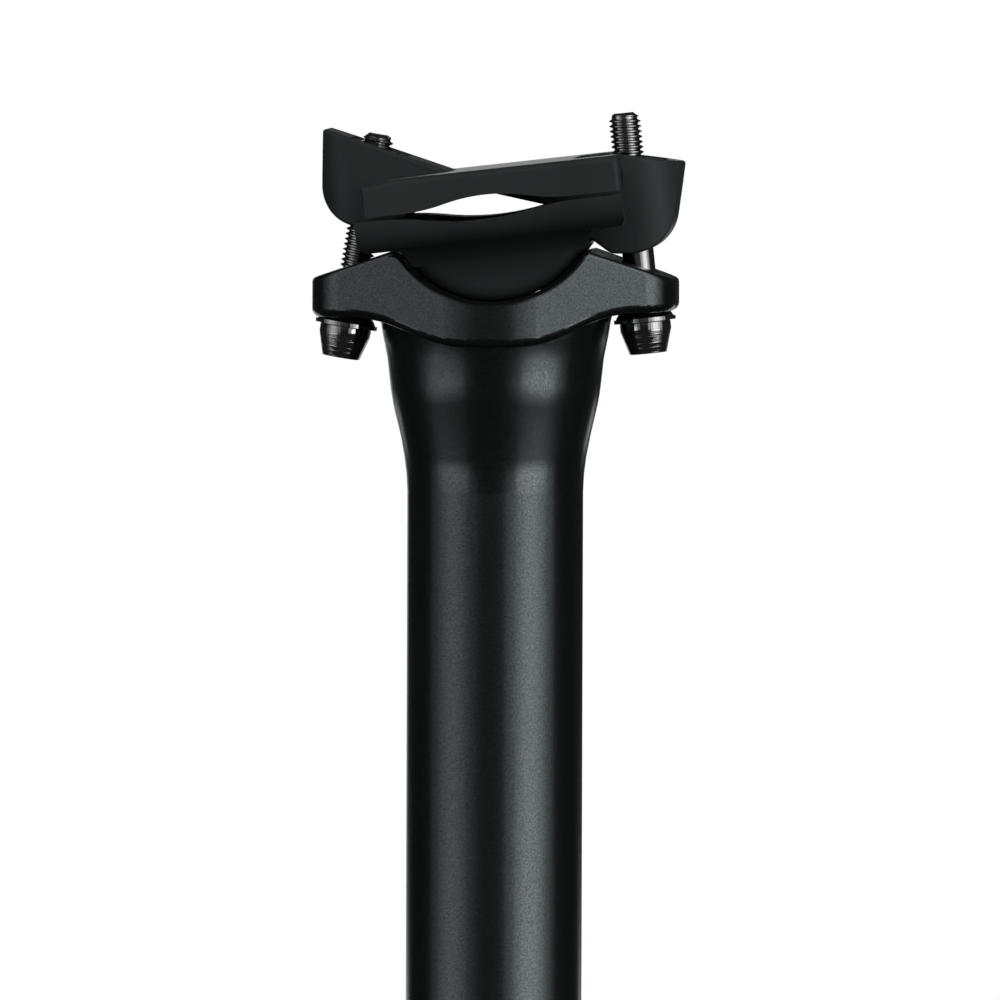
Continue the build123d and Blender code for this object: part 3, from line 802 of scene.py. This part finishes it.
def make_floor():
    """Pale round floor that fades into the white background."""
    studio = bpy.context.scene.seatpost_studio
    reach = studio.floor_radius
    shape = bmesh.new()
    bmesh.ops.create_circle(shape, cap_ends=True, cap_tris=True, segments=FLOOR_SIDES, radius=reach)
    mesh = bpy.data.meshes.new("pale_floor")
    shape.to_mesh(mesh)
    shape.free()
    floor = bpy.data.objects.new("pale_floor", mesh)
    bpy.context.scene.collection.objects.link(floor)

    material, tree, shader = new_material("pale_floor_paint")
    shader.inputs["Roughness"].default_value = FLOOR_ROUGHNESS
    shader.inputs["Specular IOR Level"].default_value = FLOOR_GLOSS
    place = add_node(tree, "ShaderNodeTexCoord").outputs["Object"]
    mottle = add_node(tree, "ShaderNodeTexNoise")
    mottle.inputs["Scale"].default_value = MOTTLES_PER_METRE
    wire(tree, place, mottle.inputs["Vector"])
    tone = clouded(tree, mottle.outputs["Fac"], FLOOR_MOTTLE)
    wire(tree, scaled_colour(tree, studio.floor_colour, tone), shader.inputs["Base Color"])

    far = add_node(tree, "ShaderNodeVectorMath", operation="LENGTH")
    wire(tree, place, far.inputs[0])
    starts, ends = (share * reach for share in FLOOR_FADE)
    fade = range_node(tree, far.outputs["Value"], starts, ends, FLOOR_GLOW, 1.0, smooth=True)
    path = add_node(tree, "ShaderNodeLightPath").outputs
    seen = math_node(tree, "MAXIMUM", path["Is Camera Ray"], path["Is Transmission Ray"])
    glow = add_node(tree, "ShaderNodeEmission")
    blend = add_node(tree, "ShaderNodeMixShader")
    wire(tree, math_node(tree, "MULTIPLY", fade, seen), blend.inputs["Fac"])
    wire(tree, shader.outputs["BSDF"], blend.inputs[1])
    wire(tree, glow.outputs["Emission"], blend.inputs[2])
    wire(tree, blend.outputs["Shader"], tree.nodes["Material Output"].inputs["Surface"])
    mesh.materials.append(material)
    # In the photograph the undersides are dark and the fasteners mirror no floor.
    floor.visible_diffuse = False
    floor.visible_glossy = False


def light_panel(name, azimuth, elevation, distance, size, brightness, lift=0.0):
    """Light panel round the post from the camera, facing the post; lift moves it up its own plane."""
    studio = bpy.context.scene.seatpost_studio
    turn = studio.azimuth + azimuth
    level = math.cos(elevation)
    out = Vector((math.sin(turn) * level, -math.cos(turn) * level, math.sin(elevation)))
    width, height = size
    lamp = bpy.data.lights.new(name, "AREA")
    lamp.shape = "RECTANGLE"
    lamp.size = width
    lamp.size_y = height
    lamp.energy = brightness * math.pi * width * height
    panel = bpy.data.objects.new(name, lamp)
    facing = out.to_track_quat("Z", "Y")
    panel.rotation_mode = "QUATERNION"
    panel.rotation_quaternion = facing
    pivot = Vector(JOINTS["clamp_tilt"]["pos_m"])
    panel.location = pivot + out * distance + facing @ Vector((0.0, lift, 0.0))
    panel.visible_camera = False
    bpy.context.scene.collection.objects.link(panel)
    return panel


def upright_panel(name, azimuth, step, half_angle, top, brightness):
    """Upright light panel from the side panels' foot to a height over the pivot, a few steps nearer."""
    studio = bpy.context.scene.seatpost_studio
    distance = studio.panel_distance - PANEL_GAP * step
    width = 2 * distance * math.tan(math.radians(half_angle))
    foot = -distance * math.tan(studio.panel_foot)
    light_panel(name, azimuth, 0.0, distance, (width, top - foot), brightness, lift=(top + foot) / 2)


def soft_panel(name, azimuth, brightness):
    """Upright light panel that fades towards its sides, with a brighter strip along its foot."""
    studio = bpy.context.scene.seatpost_studio
    for step, (half_angle, share) in enumerate(PANEL_STEPS):
        upright_panel(f"{name}_{step}", azimuth, step, half_angle, studio.panel_top, share * brightness)
    nearest = len(PANEL_STEPS)
    strip_top = -(studio.panel_distance - PANEL_GAP * nearest) * math.tan(studio.strip_top)
    strip = studio.strip * brightness
    upright_panel(f"{name}_strip", azimuth, nearest, STRIP_HALF_ANGLE, strip_top, strip)


def make_camera():
    """Long lens from the left side, placed so that the tilt pivot falls on its pixel."""
    studio = bpy.context.scene.seatpost_studio
    pivot = Vector(JOINTS["clamp_tilt"]["pos_m"])
    azimuth = studio.azimuth
    level = math.cos(studio.elevation)
    back = Vector((math.sin(azimuth) * level, -math.cos(azimuth) * level, math.sin(studio.elevation)))
    plain_right = Vector((math.cos(azimuth), math.sin(azimuth), 0.0))
    plain_up = back.cross(plain_right)
    right = math.cos(studio.roll) * plain_right + math.sin(studio.roll) * plain_up
    up = math.cos(studio.roll) * plain_up - math.sin(studio.roll) * plain_right
    pixel = MM / studio.picture_scale
    across = (PICTURE_SIZE / 2 - studio.pivot_x) * pixel
    down = (PICTURE_SIZE / 2 - studio.pivot_y) * pixel
    place = pivot + right * across - up * down + back * studio.distance
    camera = bpy.data.objects.new("camera", bpy.data.cameras.new("camera"))
    camera.matrix_world = Matrix.Translation(place) @ Matrix((right, up, back)).transposed().to_4x4()
    camera.data.sensor_width = SENSOR_WIDTH
    camera.data.lens = SENSOR_WIDTH * studio.distance / (PICTURE_SIZE * pixel)
    camera.data.clip_start, camera.data.clip_end = CAMERA_REACH
    bpy.context.scene.collection.objects.link(camera)
    bpy.context.scene.camera = camera


class SEATPOST_OT_stage(bpy.types.Operator):
    """Makes the floor, the light panels, the background and the camera"""

    bl_idname = "seatpost.stage"
    bl_label = "Stage"

    def execute(self, context):
        studio = context.scene.seatpost_studio
        context.scene.view_settings.view_transform = "Standard"
        make_world()
        make_floor()
        soft_panel("left_panel", studio.left_azimuth, studio.left_panel)
        soft_panel("right_panel", studio.right_azimuth, studio.right_panel)
        top = light_panel(
            "top_panel", 0.0, studio.top_elevation, studio.panel_distance, TOP_PANEL_SIZE, studio.top_panel
        )
        top.visible_glossy = False
        for side in (-1, 1):
            light_panel(
                f"low_panel_{side}", side * studio.low_azimuth, studio.low_elevation,
                studio.panel_distance, LOW_PANEL_SIZE, studio.low_panel,
            )
        make_camera()
        return {"FINISHED"}


class SEATPOST_PT_panel(bpy.types.Panel):
    """Lists the seatpost's sizes, finishes and operators"""

    bl_label = "Seatpost"
    bl_idname = "SEATPOST_PT_panel"
    bl_space_type = "VIEW_3D"
    bl_region_type = "UI"
    bl_category = "Seatpost"

    def draw(self, context):
        for title, group in (
            ("Bolts", context.scene.seatpost_bolts),
            ("Finishes", context.scene.seatpost_finishes),
            ("Studio", context.scene.seatpost_studio),
        ):
            box = self.layout.box()
            box.label(text=title)
            for name in group.bl_rna.properties.keys():
                if name not in ("rna_type", "name"):
                    box.prop(group, name)
        for operator in OPERATORS:
            self.layout.operator(operator.bl_idname)


GROUPS = {"seatpost_bolts": BoltSizes, "seatpost_finishes": Finishes, "seatpost_studio": Studio}
OPERATORS = (
    SEATPOST_OT_post,
    SEATPOST_OT_clamp,
    SEATPOST_OT_bolts,
    SEATPOST_OT_small_steel,
    SEATPOST_OT_stage,
)
CLASSES = (*GROUPS.values(), *OPERATORS, SEATPOST_PT_panel)


def register():
    """Registers the classes and hangs the property groups on the scene."""
    for cls in CLASSES:
        bpy.utils.register_class(cls)
    for name, group in GROUPS.items():
        setattr(bpy.types.Scene, name, PointerProperty(type=group))


def unregister():
    """Takes everything off again."""
    for name in GROUPS:
        delattr(bpy.types.Scene, name)
    for cls in reversed(CLASSES):
        bpy.utils.unregister_class(cls)


def main():
    """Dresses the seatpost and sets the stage."""
    register()
    bpy.ops.seatpost.post()
    bpy.ops.seatpost.clamp()
    bpy.ops.seatpost.bolts()
    bpy.ops.seatpost.small_steel()
    bpy.ops.seatpost.stage()


if __name__ == "__main__":
    main()
